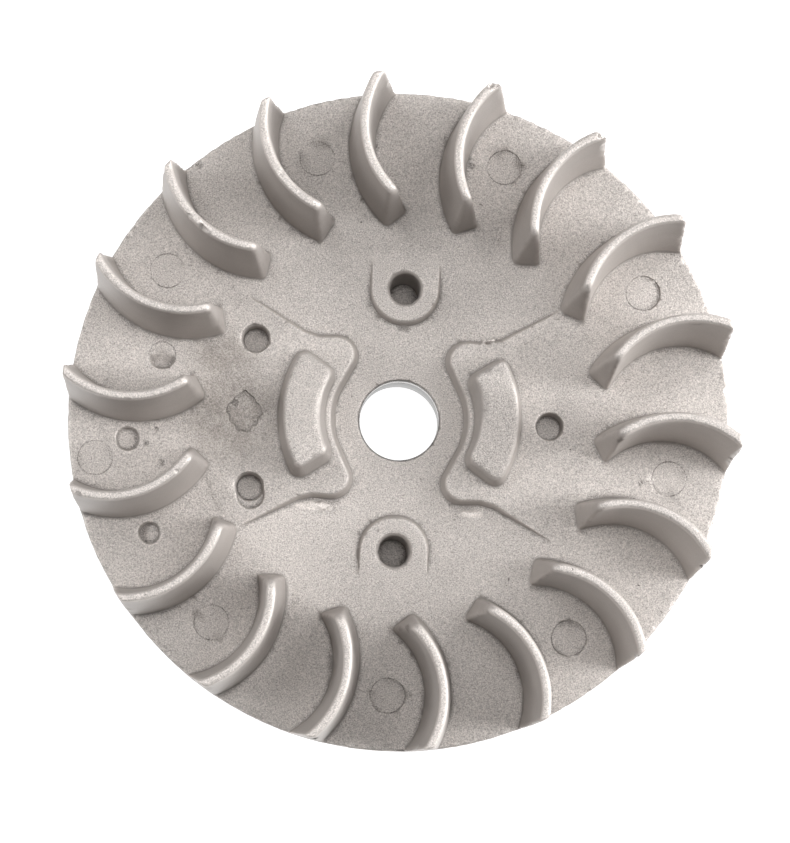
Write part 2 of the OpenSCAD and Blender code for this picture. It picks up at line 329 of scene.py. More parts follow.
def disc(x, y, z):
    """The disc, with heights shortened a little so that they are distances on the dish's slope too."""
    r = np.hypot(x, y)
    face = (z - disc_top(r)) * np.float32(0.985)
    back = (disc_back(r) - z) * np.float32(0.985)
    edge = np.maximum(r - DISC_R, EDGE_BACK_Z - z)
    turned_edge = np.maximum(r - RIM_R, z - ANNULUS_Z)
    return smooth_max(np.maximum(face, back), np.minimum(edge, turned_edge), 0.25)


def rim_wall(x, y, z):
    """The rim behind the disc, turned outside and drafted inside."""
    r = np.hypot(x, y)
    wall = np.maximum(r - RIM_R, RIM_IN_R + z * np.float32(0.03) - r)
    return smooth_max(wall, np.maximum(-z, z - DISC_BACK_Z - 1), 0.5)


def hub(x, y, z):
    """The hub behind the disc, before it is bored."""
    wall = np.hypot(x, y) - (HUB_R - 0.4 + (z - HUB_BACK_Z) * np.float32(0.035))
    return smooth_max(wall, np.maximum(HUB_BACK_Z - z, z - FLOOR_Z + 1), 0.6)


def rib(x, y, z):
    """One rib behind the disc, along +X."""
    thickness = np.abs(y) - (RIB_T / 2 - 0.3 + (z - RIB_Z) * np.float32(0.04))
    span = np.maximum(HUB_R - 3 - x, x - RIM_IN_R - 2)
    return smooth_max(np.maximum(thickness, span), np.maximum(RIB_Z - z, z - DISC_BACK_Z), 0.8)


def rim_block(x, y, z, r_in, half_angle):
    """A thick stretch of the rim round the +X axis."""
    r = np.hypot(x, y)
    c, s = math.cos(half_angle * DEG), math.sin(half_angle * DEG)
    sides = np.abs(y) * np.float32(c) - x * np.float32(s)
    across = smooth_max(sides, r_in - r, 4)
    across = across - (z - 7) * np.float32(0.03)
    return smooth_max(across, np.maximum(np.maximum(-z, z - DISC_BACK_Z), r - RIM_R + 0.5), 0.6)


def pivot_boss(x, y, z):
    """The boss behind one pivot pad, on the +X axis."""
    across = np.hypot(x - PIVOT_R, y) - (PIVOT_BOSS_R + (z - PIVOT_BOSS_Z) * np.float32(0.04))
    return smooth_max(across, np.maximum(PIVOT_BOSS_Z - z, z - DISC_BACK_Z), 0.8)


def platform_outline():
    """The +X platform seen from the front: two noses, the hollow between them and two straight edges."""
    edge_y = NOSE_Y + NOSE_R
    reach = DISH_R + 6
    far_y = edge_y + (reach - EDGE_X) * math.tan(EDGE_ANGLE * DEG)
    nose = arc_points(NOSE_X, NOSE_Y, NOSE_R, 90, 204, 14)
    hollow = arc_points(0, 0, HOLLOW_R, 31, 0, 9)
    half = [(reach, far_y), (EDGE_X + 0.6, edge_y + 0.5), (EDGE_X - 1.6, edge_y - 0.1)] + nose + hollow
    return half + [(px, -py) for px, py in reversed(half[:-1])]


def platform(x, y, z):
    """The +X platform, with its edge rounded less toward the rim, where it is low."""
    outline = outline_distance(platform_outline(), x, y)
    top = z - ANNULUS_Z
    r = np.hypot(x, y)
    rounding = 0.45 - 0.3 * np.clip((r - 18) / 8, 0, 1)
    shape = smooth_max(drafted(outline, z, ANNULUS_Z, PLATFORM_DRAFT), top, rounding)
    return np.maximum(shape, np.maximum(r - DISH_R - 0.5, disc_middle(r) - z))


def pawl_stop(x, y, z):
    """The kidney on the +X platform: flat on top at +Y and sloping down toward -Y."""
    r = np.hypot(x, y)
    c, s = math.cos(STOP_HALF_ANGLE * DEG), math.sin(STOP_HALF_ANGLE * DEG)
    ends = np.abs(y) * np.float32(c) - x * np.float32(s)
    sides = np.maximum(STOP_IN_R - r, r - STOP_OUT_R)
    outline = round_corner(ends, sides, STOP_CORNER_R)
    slope = (STOP_TALL_H - STOP_LOW_H) / (STOP_OUT_R * s + STOP_FLAT_Y)
    height = STOP_TALL_H + smooth_min((y - STOP_FLAT_Y) * np.float32(slope), np.float32(0), 0.35)
    shape = smooth_max(drafted(outline, z, ANNULUS_Z, STOP_DRAFT), z - ANNULUS_Z - height, 0.7)
    return np.maximum(shape, disc_middle(r) - z)


def pivot_pad(x, y, z):
    """One pivot pad on the +X axis, open toward the rim."""
    outline = np.where(x < PIVOT_R, np.hypot(x - PIVOT_R, y), np.abs(y)) - PAD_R
    rounding = 0.5 - 0.3 * np.clip((x - PIVOT_R + 2) / 4, 0, 1)
    shape = smooth_max(drafted(outline, z, PAD_Z, PAD_DRAFT), z - PAD_Z, rounding)
    return np.maximum(shape, np.maximum(x - DISH_R, disc_middle(np.hypot(x, y)) - z))


def blade(x, y, z):
    """A wall along an arc, thinner toward its top, with a flat inner end that leans back."""
    x = x - BLADE_CENTRE_R
    up = (z - ANNULUS_Z) / BLADE_H
    radius = np.hypot(x, y)
    half_t = (BLADE_ROOT_T + (BLADE_TOP_T - BLADE_ROOT_T) * up) / 2
    end_x, end_y = polar(BLADE_ARC_R, BLADE_INNER_END)
    c, s = polar(1.0, BLADE_INNER_END - BLADE_END_TURN)
    past_end = (y - end_y) * np.float32(c) - (x - end_x) * np.float32(s) + BLADE_END_LEAN * (up + 0.05)
    wall = round_corner(np.abs(radius - BLADE_ARC_R) - half_t, past_end, 0.8)
    return smooth_max(wall, smooth_max(past_end, z - BLADE_TOP_Z, 2.0), 0.55)


def blade_rim(x, y, z):
    """The cone that ends every blade at the disc's edge."""
    return np.hypot(x, y) - DISC_R + BLADE_RIM_DRAFT * (z - ANNULUS_Z) / BLADE_H


def round_hole(cx, cy, r, bottom, top=99):
    """A cylinder parallel to the axis, to be cut out."""
    def hole(x, y, z):
        return np.maximum(np.hypot(x - cx, y - cy) - r, np.maximum(bottom - z, z - top))
    return hole


def ball(cx, cy, cz, size):
    """A rough ball."""
    def rough(x, y, z):
        ripple = np.sin(x * 7 + y * 3) * np.sin(y * 6 - z * 5) * np.float32(0.3)
        return np.sqrt((x - cx) ** 2 + (y - cy) ** 2 + (z - cz) ** 2) - size * (1 + ripple)
    return rough


def shoe_points(side, grow=0.0):
    """Outline of one pole shoe in the magnet group's frame; side is -1 or 1."""
    half_l, magnet_out = MAGNET_L / 2, MAGNET_IN + MAGNET_W
    tip, flank = 6.0, 21.0
    face_r = RIM_R + grow
    ends = [math.asin(v / face_r) / DEG for v in (tip, flank)]
    face = arc_points(0, 0, face_r, ends[0], ends[1], 13)
    points = [(SHOE_IN, half_l), (magnet_out, half_l), (magnet_out + half_l - tip, tip)]
    points += face + [(magnet_out, flank), (SHOE_IN, 16.5)]
    return [(px, side * py) for px, py in points]


def insert_room(x, y, z):
    """The room that the magnet group takes up in the casting, in the group's own frame."""
    rooms = [outline_distance(shoe_points(side, grow=3.0), x, y) for side in (-1, 1)]
    block = np.maximum(np.abs(x - MAGNET_IN - MAGNET_W / 2) - MAGNET_W / 2, np.abs(y) - MAGNET_L / 2)
    across = np.minimum(np.minimum(rooms[0], rooms[1]), block)
    return np.maximum(across, np.abs(z - (STACK_Z + STACK_TOP_Z) / 2) - (STACK_TOP_Z - STACK_Z) / 2)


# Marks in the face, as (radius from the axis, direction, radius of the mark)
CORED_HOLES = [(22.7, -0.4, 2.0), (24.9, 153.4, 2.0), (24.9, 206.9, 2.0)]
STEP_HOLE = (25.3, 209.7, 2.0)
PIN_MARKS = [(37.1, 167.7, 1.9), (41.1, 186.9, 1.65), (41.4, 207.3, 1.5)]
PIN_SLOPES = [0, -0.15, 0.25]
CORED_DEPTH, STEP_DEPTH, PIN_DEPTH = 4.0, 1.2, 0.9
EJECTOR_START, EJECTOR_STEP = 30, 40
EJECTOR_RING_R, EJECTOR_R = 41.7, 2.6
ODD_EJECTOR, ODD_EJECTOR_RING_R = 190.0, 46.2
EJECTOR_DEPTH = 0.15
TILTED_EJECTOR, TILTED_EJECTOR_SLOPE = 30.0, 0.055
GATE_X, GATE_Y, GATE_HALF_W, GATE_HALF_H = -23.5, -0.1, 2.65, 3.0
GATE_POWER, GATE_RIPPLE, GATE_DEPTH = 1.35, 0.09, 0.22

# Rough flash left on a platform's edge, as (x, y, z, size)
FLASH = [
    (12.2, 12.3, 17.8, 0.35), (12.9, 12.5, 17.9, 0.3), (13.6, 12.6, 17.8, 0.4), (14.5, 12.9, 17.8, 0.35),
]

# Thin skins of flash on the dish beside a platform, as (x, y, half length, half width)
FLASH_SKINS = [(-12.4, -13.6, 2.7, 0.8), (11.6, -13.8, 1.9, 0.6)]

# Dark specks in the face, as (x, y, size)
SPECKS = [
    (-35.4, -8.3, 0.45), (-36.6, -3.3, 0.35), (-32.3, 37.3, 0.7), (36.7, -8.0, 0.5), (-24.9, 1.2, 0.5),
    (35.2, 14.6, 0.4), (-5.2, 41.5, 0.35), (20.4, -38.2, 0.35), (-38.0, -5.6, 0.5), (9.2, 39.2, 0.5),
]

# Chips in the blade tops, as (x, y, z, size)
CHIPS = [
    (11.0, 47.9, 36.9, 0.9), (10.6, 45.3, 36.75, 0.45), (27.2, 40.8, 37.0, 0.8),
    (25.6, 16.9, 36.6, 0.6), (-32.3, 26.2, 36.6, 0.45), (-30.6, 24.4, 36.6, 0.75),
    (-29.6, 24.0, 36.8, 0.5), (-26.4, 21.9, 36.6, 0.45), (-19.2, 33.2, 36.85, 0.5),
    (-32.0, -11.0, 36.8, 0.5), (-46.2, -15.0, 36.8, 0.6), (-42.6, -16.2, 36.9, 0.5),
    (47.9, -2.9, 36.7, 0.45), (30.0, 5.6, 33.5, 0.5), (31.0, 10.2, 36.9, 0.45),
]


def around(cx, cy, low_z, high_z, reach):
    """Two corners of a block around a line parallel to the axis."""
    return (cx - reach, cy - reach, low_z), (cx + reach, cy + reach, high_z)


def back_of_casting(low, high):
    """Hub, ribs, rim and thick stretches of the rim behind the disc."""
    back = Grid(low, high, VOXEL)
    back.d = smooth_min(rim_wall(back.x, back.y, back.z), hub(back.x, back.y, back.z), 1.0)
    everywhere = (-60, -60, -5), (60, 60, 60)
    for i in range(RIB_COUNT):
        direction = (i + 0.5) * 360 / RIB_COUNT
        back.add(*everywhere, lambda x, y, z, a=direction: rib(*turned(x, y, a), z), 2.0)
    for r_in, half_angle, direction in RIM_BLOCKS:
        def block(x, y, z, r_in=r_in, half_angle=half_angle, direction=direction):
            return rim_block(*turned(x, y, direction), z, r_in, half_angle)
        back.add(*everywhere, block, 1.5)
    for direction in (90, 270):
        back.add(*everywhere, lambda x, y, z, a=direction: pivot_boss(*turned(x, y, a), z), 2.0)
    return back.d


def envelope(x, y, z):
    """The turned outside of the casting: the disc's edge, the rim and the back."""
    r = np.hypot(x, y)
    lip = np.maximum(r - DISC_R, EDGE_BACK_Z - z)
    return np.maximum(np.minimum(lip, r - RIM_R), -z)


def add_front(grid):
    """Platforms with their flash, pawl stops, pivot pads and blades on the disc's face."""
    halves = [((0, -33, BEHIND_FACE_Z), (33, 33, 30), 0), ((-33, -33, BEHIND_FACE_Z), (0, 33, 30), 180)]
    for low, high, direction in halves:
        grid.add(low, high, lambda x, y, z, a=direction: platform(*turned(x, y, a), z), 0.2)
    for x, y, z, size in FLASH:
        grid.add(*around(x, y, z - 1, z + 1, 1), ball(x, y, z, size), 0.25)
    for cx, cy, half_l, half_w in FLASH_SKINS:
        cz = float(disc_top(np.float32(math.hypot(cx, cy))))

        def skin(x, y, z, cx=cx, cy=cy, cz=cz, half_l=half_l, half_w=half_w):
            ripple = np.sin(x * 4 + y * 2) * np.sin(y * 5) * np.float32(0.15)
            away = np.sqrt(((x - cx) / half_l) ** 2 + ((y - cy) / half_w) ** 2 + ((z - cz) / 0.22) ** 2)
            return (away - 1 - ripple) * np.float32(0.22)
        grid.add(*around(cx, cy, cz - 0.5, cz + 1, half_l + 1), skin, 0.04)
    # Everything so far ends at the flat annulus, apart from 0.3 mm of rough flash
    near_flash = (np.abs(grid.y - 12.6) < 0.9) & (np.abs(grid.x - 13.5) < 2.2)
    grid.d = np.maximum(grid.d, grid.z - ANNULUS_Z - near_flash * np.float32(0.3))
    for low, high, direction in halves:
        grid.add(low, high, lambda x, y, z, a=direction: pawl_stop(*turned(x, y, a), z), 0.4)
    for side, direction in ((1, 90), (-1, 270)):
        low, high = sorted((10 * side, 33 * side))
        block = (-9, low, BEHIND_FACE_Z), (9, high, 24)
        grid.add(*block, lambda x, y, z, a=direction: pivot_pad(*turned(x, y, a), z), 0.2)
    for i in range(BLADE_COUNT):
        direction = BLADE_PHASE + i * 360 / BLADE_COUNT
        cx, cy = polar(BLADE_CENTRE_R, direction)

        def one(x, y, z, direction=direction):
            return smooth_max(blade(*turned(x, y, direction), z), blade_rim(x, y, z), 0.3)
        grid.add(*around(cx, cy, ANNULUS_Z - 2, 60, 19), one, 0.4)


def cut_front(grid):
    """Holes and marks in the face, and chips in the blade tops."""
    for r, direction, hole_r in CORED_HOLES:
        cx, cy = polar(r, direction)
        hole = round_hole(cx, cy, hole_r, ANNULUS_Z - CORED_DEPTH)
        grid.cut(*around(cx, cy, 12, 20, 4), hole, 0.3)
    cx, cy = polar(STEP_HOLE[0], STEP_HOLE[1])
    grid.cut(*around(cx, cy, 15, 20, 4), round_hole(cx, cy, STEP_HOLE[2], ANNULUS_Z - STEP_DEPTH), 0.3)
    for number, (r, direction, hole_r) in enumerate(PIN_MARKS):
        cx, cy = polar(r, direction)

        def mark(x, y, z, cx=cx, cy=cy, hole_r=hole_r, number=number):
            bottom = ANNULUS_Z - PIN_DEPTH + PIN_SLOPES[number] * (x - cx)
            if number == 0:  # this one is deep on its -Y side only
                bottom = bottom + PIN_DEPTH * np.clip((y - cy + 1.1) / 1.3, 0, 1.2)
            return np.maximum(np.hypot(x - cx, y - cy) - hole_r, bottom - z)
        grid.cut(*around(cx, cy, 15, 20, 4), mark, 0.2)
    for direction in (90, 270):
        px, py = polar(PIVOT_R, direction)
        hole = round_hole(px, py, PIVOT_HOLE_R - 0.1, PAD_Z - PIVOT_HOLE_DEPTH)
        grid.cut(*around(px, py, 0, 22, 5), hole, 0.25)

        def chamfer(x, y, z, px=px, py=py):
            return (np.hypot(x - px, y - py) - PIVOT_HOLE_R - z + PAD_Z - 0.25) * np.float32(0.71)
        grid.cut(*around(px, py, PAD_Z - 1.5, 22, 5), chamfer, 0.15)
    for direction in range(EJECTOR_START, EJECTOR_START + 360, EJECTOR_STEP):
        cx, cy = polar(ODD_EJECTOR_RING_R if direction == ODD_EJECTOR else EJECTOR_RING_R, direction)
        tilt = TILTED_EJECTOR_SLOPE if direction == TILTED_EJECTOR else 0

        def ejector(x, y, z, cx=cx, cy=cy, tilt=tilt):
            bottom = ANNULUS_Z - EJECTOR_DEPTH - tilt * (x - cx)
            return np.maximum(np.hypot(x - cx, y - cy) - EJECTOR_R, bottom - z)
        grid.cut(*around(cx, cy, 16, 18.5, 4), ejector, 0.08)

    def gate(x, y, z):
        across = (np.abs(x - GATE_X) / GATE_HALF_W) ** GATE_POWER
        along = (np.abs(y - GATE_Y) / GATE_HALF_H) ** GATE_POWER
        reach = (across + along) ** (1 / GATE_POWER) - 1 + GATE_RIPPLE * np.sin(x * 3) * np.sin(y * 2.6)
        return np.maximum(reach * np.float32(GATE_HALF_W), ANNULUS_Z - GATE_DEPTH - z)
    grid.cut(*around(GATE_X, GATE_Y, 16, 18.5, 5), gate, 0.08)
    for x, y, z, size in CHIPS:
        grid.cut(*around(x, y, z - 2 * size, z + 2 * size, 2 * size), ball(x, y, z, size), 0.12)


def casting_solid():
    """The whole casting, with uneven faces, a ragged rim edge, marks, bore and room for the magnet group."""
    low, high = (-DISC_R - 1, -DISC_R - 1, -1), (DISC_R + 1, DISC_R + 1, BLADE_TOP_Z + 1)
    grid = Grid(low, high, VOXEL)
    grid.d = disc(grid.x, grid.y, grid.z)
    back = back_of_casting(low, (high[0], high[1], ANNULUS_Z))
    layers = back.shape[2]
    grid.d[:, :, :layers] = smooth_min(grid.d[:, :, :layers], back, 1.4)
    add_front(grid)
    grid.d += 0.05 * noise_grid(grid.shape, 6 / VOXEL, 1) + 0.02 * noise_grid(grid.shape, 2 / VOXEL, 2)
    near_edge = np.clip(np.hypot(grid.x, grid.y) - DISC_R + 1.2, 0, 1) * (np.abs(grid.z - ANNULUS_Z) < 0.8)
    grid.d += 0.16 * near_edge * np.maximum(noise_grid(grid.shape, 0.8 / VOXEL, 3), -0.2)
    grid.d = smooth_max(grid.d, envelope(grid.x, grid.y, grid.z), 0.15)
    cut_front(grid)
    grid.cut((-9, -9, -2), (9, 9, 20), round_hole(0, 0, BORE_R, -9), 0.5)
    grid.cut((-12, -12, -2), (12, 12, BUSH_TOP_Z + 1), round_hole(0, 0, BUSH_R, -9, BUSH_TOP_Z), 0.15)
    grid.cut((-54, -30, 0), (-28, 30, 18), lambda x, y, z: insert_room(*turned(x, y, MAGNET_ANGLE), z), 0.1)
    return grid


# ---------------------------------------------------------------- the steel parts and the magnet


def bush_solid():
    """The steel bush: taper, plain land, keyway and an outer groove that holds it in the hub."""
    grid = Grid((-BUSH_R - 1, -BUSH_R - 1, HUB_BACK_Z - 1), (BUSH_R + 1, BUSH_R + 1, BUSH_TOP_Z + 1), 0.2)
    x, y, z = grid.x, grid.y, grid.z
    r = np.hypot(x, y)
    body = smooth_max(r - BUSH_R, np.maximum(HUB_BACK_Z - z, z - BUSH_TOP_Z), 0.5)
    groove = np.maximum(BUSH_R - 1 - r, np.abs(z - HUB_BACK_Z - 5.5) - 1.5)
    body = smooth_max(body, -groove, 0.4)
    land_z = BUSH_TOP_Z - 3
    bore = r - np.maximum(BORE_R, BORE_R + (land_z - z) / 16)
    bore = smooth_min(bore, r - (BORE_R + 0.5) - (HUB_BACK_Z + 0.5 - z) * 1.2, 0.3)
    body = smooth_max(body, -bore, 0.3)
    key = np.maximum(np.abs(y) - 1.5, np.maximum(-x, x - BORE_R - 2))
    grid.d = smooth_max(body, -np.maximum(key, z - land_z), 0.25)
    return grid


def magnet_solid():
    """The sintered magnet block, with soft edges and slightly uneven faces."""
    cx, cz = MAGNET_IN + MAGNET_W / 2, (STACK_Z + STACK_TOP_Z) / 2
    half = MAGNET_W / 2, MAGNET_L / 2, (STACK_TOP_Z - STACK_Z) / 2
    grid = Grid((-49, -15, STACK_Z - 1), (-33, 6, STACK_TOP_Z + 1), 0.25)
    x, y = turned(grid.x, grid.y, MAGNET_ANGLE)
    sides = smooth_max(np.abs(x - cx) - half[0], np.abs(y) - half[1], 0.7)
    grid.d = smooth_max(sides, np.abs(grid.z - cz) - half[2], 0.7) + np.zeros(grid.shape, np.float32)
    grid.d += 0.04 + 0.04 * noise_grid(grid.shape, 6, 5)
    return grid


def link_mesh(name, mesh):
    """A new object of a mesh, in the scene."""
    piece = bpy.data.objects.new(name, mesh)
    bpy.context.scene.collection.objects.link(piece)
    return piece


def sheet_mesh(name, side, low_z, shift):
    """One stamped sheet of a pole shoe with rolled edges and its two rivet holes."""
    edge = 0.06
    curve = bpy.data.curves.new(name, "CURVE")
    curve.dimensions, curve.fill_mode = "2D", "BOTH"
    curve.extrude, curve.bevel_depth = (SHEET_T / 2 - edge - 0.01) * MM, edge * MM
    curve.bevel_resolution, curve.offset = 1, -edge * MM
    holes = [arc_points(u, side * v, RIVET_R + 0.03, 0, 345, 24) for u, v in RIVET_SPOTS]
    for outline in [shoe_points(side)] + holes:
        spline = curve.splines.new("POLY")
        spline.points.add(len(outline) - 1)
        spline.use_cyclic_u = True
        for point, (u, v) in zip(spline.points, outline):
            point.co = ((u + shift) * MM, v * MM, 0, 1)
    flat = bpy.data.objects.new(name + "_curve", curve)
    bpy.context.scene.collection.objects.link(flat)
    bpy.context.view_layer.update()
    mesh = bpy.data.meshes.new_from_object(flat.evaluated_get(bpy.context.evaluated_depsgraph_get()))
    bpy.data.objects.remove(flat)
    turn = Matrix.Rotation(MAGNET_ANGLE * DEG, 4, "Z")
    mesh.transform(Matrix.Translation((0, 0, (low_z + SHEET_T / 2) * MM)) @ turn)
    mesh.name = name
    return mesh


def lathe(profile, cx, cy, steps):
    """Points and faces of a profile of (radius, height) turned about a line parallel to the axis."""
    points, faces = [], []
    angles = [2 * math.pi * i / steps for i in range(steps)]
    for r, z in profile:
        points += [(cx + r * math.cos(a), cy + r * math.sin(a), z) for a in angles]
    for row in range(len(profile) - 1):
        for i in range(steps):
            j = (i + 1) % steps
            a, b = row * steps, (row + 1) * steps
            faces.append((a + i, a + j, b + j, b + i))
    faces.append(tuple(reversed(range(steps))))
    faces.append(tuple(range(len(points) - steps, len(points))))
    return points, faces


def rivets_mesh():
    """The four rivets, each with a domed head at both ends."""
    low, high = STACK_Z - RIVET_HEAD_T, STACK_TOP_Z + RIVET_HEAD_T
    profile = [(r, low + z) for r, z in RIVET_DOME] + [(RIVET_R, STACK_Z), (RIVET_R, STACK_TOP_Z)]
    profile += [(r, high - z) for r, z in reversed(RIVET_DOME)]
    points, faces = [], []
    for u, v in RIVET_SPOTS:
        for side in (-1, 1):
            angle = math.atan2(side * v, u) / DEG + MAGNET_ANGLE
            cx, cy = polar(math.hypot(u, v), angle)
            more, more_faces = lathe(profile, cx, cy, 40)
            faces += [tuple(i + len(points) for i in face) for face in more_faces]
            points += more
    mesh = bpy.data.meshes.new("shoe_rivet_set")
    mesh.from_pydata([tuple(c * MM for c in p) for p in points], [], faces)
    mesh.update()
    mesh.shade_smooth()
    return mesh


# ---------------------------------------------------------------- materials


class Shade:
    """A material's nodes, written as calls. Any value may be a number, a colour or another node's output."""

    def __init__(self, name):
        self.material = bpy.data.materials.new(name)
        self.material.use_nodes = True
        self.tree = self.material.node_tree
        self.shader = self.tree.nodes["Principled BSDF"]
        coords = self.tree.nodes.new("ShaderNodeTexCoord")
        self.mm = self.vector("SCALE", coords.outputs["Object"], scale=1 / MM)
        split = self.tree.nodes.new("ShaderNodeSeparateXYZ")
        self.put(split.inputs[0], self.mm)
        self.x, self.y, self.z = split.outputs
        flat = self.vector("MULTIPLY", self.mm, (1, 1, 0))
        self.r = self.vector("LENGTH", flat)
        facing = self.tree.nodes.new("ShaderNodeSeparateXYZ")
        self.put(facing.inputs[0], coords.outputs["Normal"])
        self.nz = facing.outputs[2]

    def put(self, socket, value):
        """Gives a socket its number or colour, or links another node's output to it."""
        if hasattr(value, "is_output"):
            self.tree.links.new(socket, value)
        else:
            socket.default_value = value

    def vector(self, operation, a, b=(0, 0, 0), scale=1.0):
        node = self.tree.nodes.new("ShaderNodeVectorMath")
        node.operation = operation
        self.put(node.inputs[0], a)
        if operation == "SCALE":
            self.put(node.inputs["Scale"], scale)
        else:
            self.put(node.inputs[1], b)
        return node.outputs["Value"] if operation == "LENGTH" else node.outputs["Vector"]

    def math(self, operation, a, b=0.0, c=0.0):
        node = self.tree.nodes.new("ShaderNodeMath")
        node.operation = operation
        for socket, value in zip(node.inputs, (a, b, c)):
            self.put(socket, value)
        return node.outputs[0]

    def add(self, *values):
        total = values[0]
        for value in values[1:]:
            total = self.math("ADD", total, value)
        return total

    def times(self, *values):
        total = values[0]
        for value in values[1:]:
            total = self.math("MULTIPLY", total, value)
        return total

    def largest(self, *values):
        result = values[0]
        for value in values[1:]:
            result = self.math("MAXIMUM", result, value)
        return result

    def ramp(self, value, low, high, out_low=0.0, out_high=1.0):
        """A smooth step from out_low to out_high as the value goes from low to high."""
        node = self.tree.nodes.new("ShaderNodeMapRange")
        node.interpolation_type = "SMOOTHSTEP"
        for socket, number in zip(node.inputs, (value, low, high, out_low, out_high)):
            self.put(socket, number)
        return node.outputs[0]

    def noise(self, scale, detail=2.0, roughness=0.5, stretch=(1, 1, 1), shift=(0, 0, 0)):
        node = self.tree.nodes.new("ShaderNodeTexNoise")
        at = self.vector("ADD", self.vector("MULTIPLY", self.mm, stretch), shift)
        self.put(node.inputs["Vector"], at)
        node.inputs["Scale"].default_value = scale
        node.inputs["Detail"].default_value = detail
        node.inputs["Roughness"].default_value = roughness
        return node.outputs[0]

    def spread(self, value, amount):
        """A noise value turned into plus or minus about that amount."""
        return self.times(self.math("SUBTRACT", value, 0.5), 2 * amount)

    def distance(self, cx, cy, stretch=(1, 1)):
        """Distance from a line parallel to the axis, with X and Y scaled first."""
        off = self.vector("SUBTRACT", self.mm, (cx, cy, 0))
        return self.vector("LENGTH", self.vector("MULTIPLY", off, (stretch[0], stretch[1], 0)))

    def ring(self, cx, cy, r, width):
        """1 on a circle round a line parallel to the axis, 0 away from it."""
        away = self.math("ABSOLUTE", self.math("SUBTRACT", self.distance(cx, cy), r))
        return self.ramp(away, width * 0.3, width, 1.0, 0.0)

    def patch(self, cx, cy, r_in, r_out, stretch=(1, 1)):
        """1 near a line parallel to the axis, fading to 0."""
        return self.ramp(self.distance(cx, cy, stretch), r_in, r_out, 1.0, 0.0)

    def in_front(self):
        """1 near the flat annulus and above it, 0 behind the disc."""
        return self.ramp(self.z, ANNULUS_Z - 1.2, ANNULUS_Z - 0.8)

    def bend(self):
        """How sharply the surface bends: above 0 on edges, below 0 in corners."""
        node = self.tree.nodes.new("ShaderNodeAttribute")
        node.attribute_name = "bend"
        return node.outputs["Fac"]

    def mix(self, factor, a, b):
        node = self.tree.nodes.new("ShaderNodeMix")
        node.data_type = "RGBA"
        self.put(node.inputs[0], factor)
        self.put(node.inputs[6], a)
        self.put(node.inputs[7], b)
        return node.outputs[2]

    def toned(self, colour, tone):
        return self.vector("SCALE", colour, scale=tone)

    def finish(self, colour, metallic, roughness, height):
        """Sets the shader; height is in millimetres."""
        bump = self.tree.nodes.new("ShaderNodeBump")
        bump.inputs["Strength"].default_value = 1.0
        bump.inputs["Distance"].default_value = MM
        self.put(bump.inputs["Height"], height)
        self.put(self.shader.inputs["Normal"], bump.outputs[0])
        self.put(self.shader.inputs["Base Color"], colour)
        self.put(self.shader.inputs["Metallic"], metallic)
        self.put(self.shader.inputs["Roughness"], roughness)
        return self.material


def ejector_rings(s):
    """Lines round the ejector marks and their insides, from one mark repeated at every step of angle."""
    angle = s.times(s.math("ARCTAN2", s.y, s.x), 1 / DEG)
    half = EJECTOR_STEP / 2
    past_odd = s.math("SUBTRACT", s.math("FLOORED_MODULO", angle, 360.0), ODD_EJECTOR)
    odd = s.ramp(s.math("ABSOLUTE", past_odd), half - 0.1, half, 1.0, 0.0)
    shifted = s.add(angle, 360.0 + half - EJECTOR_START)
    folded = s.times(s.math("SUBTRACT", s.math("FLOORED_MODULO", shifted, EJECTOR_STEP), half), DEG)
    across = s.times(s.r, s.math("SINE", folded))
    ring_r = s.add(EJECTOR_RING_R, s.times(odd, ODD_EJECTOR_RING_R - EJECTOR_RING_R))
    along = s.math("SUBTRACT", s.times(s.r, s.math("COSINE", folded)), ring_r)
    away = s.math("SQRT", s.add(s.times(across, across), s.times(along, along)))
    line = s.ramp(s.math("ABSOLUTE", s.math("SUBTRACT", away, EJECTOR_R)), 0.03, 0.12, 1.0, 0.0)
    inside = s.ramp(away, EJECTOR_R - 0.1, EJECTOR_R + 0.05, 1.0, 0.0)
    face = s.times(s.ramp(s.z, ANNULUS_Z + 0.3, ANNULUS_Z + 0.5, 1.0, 0.0), s.in_front())
    broken = s.ramp(s.noise(0.22, 2, 0.6, shift=(3, 8, 1)), 0.36, 0.60, 0.3, 1.0)
    return s.times(line, face, broken), s.times(inside, face)


def gate_line(s):
    """The ragged outline of the patch where the casting was broken off its gate."""
    across = s.times(s.math("ABSOLUTE", s.math("SUBTRACT", s.x, GATE_X)), 1 / GATE_HALF_W)
    along = s.times(s.math("ABSOLUTE", s.math("SUBTRACT", s.y, GATE_Y)), 1 / GATE_HALF_H)
    powers = s.add(s.math("POWER", across, GATE_POWER), s.math("POWER", along, GATE_POWER))
    ripple = s.times(s.math("SINE", s.times(s.x, 3.0)), s.math("SINE", s.times(s.y, 2.6)), GATE_RIPPLE)
    ragged = s.add(ripple, s.spread(s.noise(2.2, 2, 0.5), 0.04))
    off = s.math("SUBTRACT", s.add(s.math("POWER", powers, 1 / GATE_POWER), ragged), 1.0)
    broken = s.ramp(s.noise(0.5, 2, 0.5, shift=(2, 9, 3)), 0.35, 0.6, 0.35, 1.0)
    line = s.times(s.ramp(s.math("ABSOLUTE", off), 0.015, 0.07, 1.0, 0.0), broken)
    return line, s.times(s.ramp(off, -0.06, 0.02, 1.0, 0.0), s.in_front())


def dark_spots(s, level):
    """Dark specks at their places on the level faces, each with a ragged outline."""
    spots = s.largest(*(s.patch(cx, cy, size * 0.5, size * 1.3) for cx, cy, size in SPECKS))
    return s.times(spots, level, s.ramp(s.noise(2.4, 2, 0.5, shift=(2, 2, 9)), 0.35, 0.55))


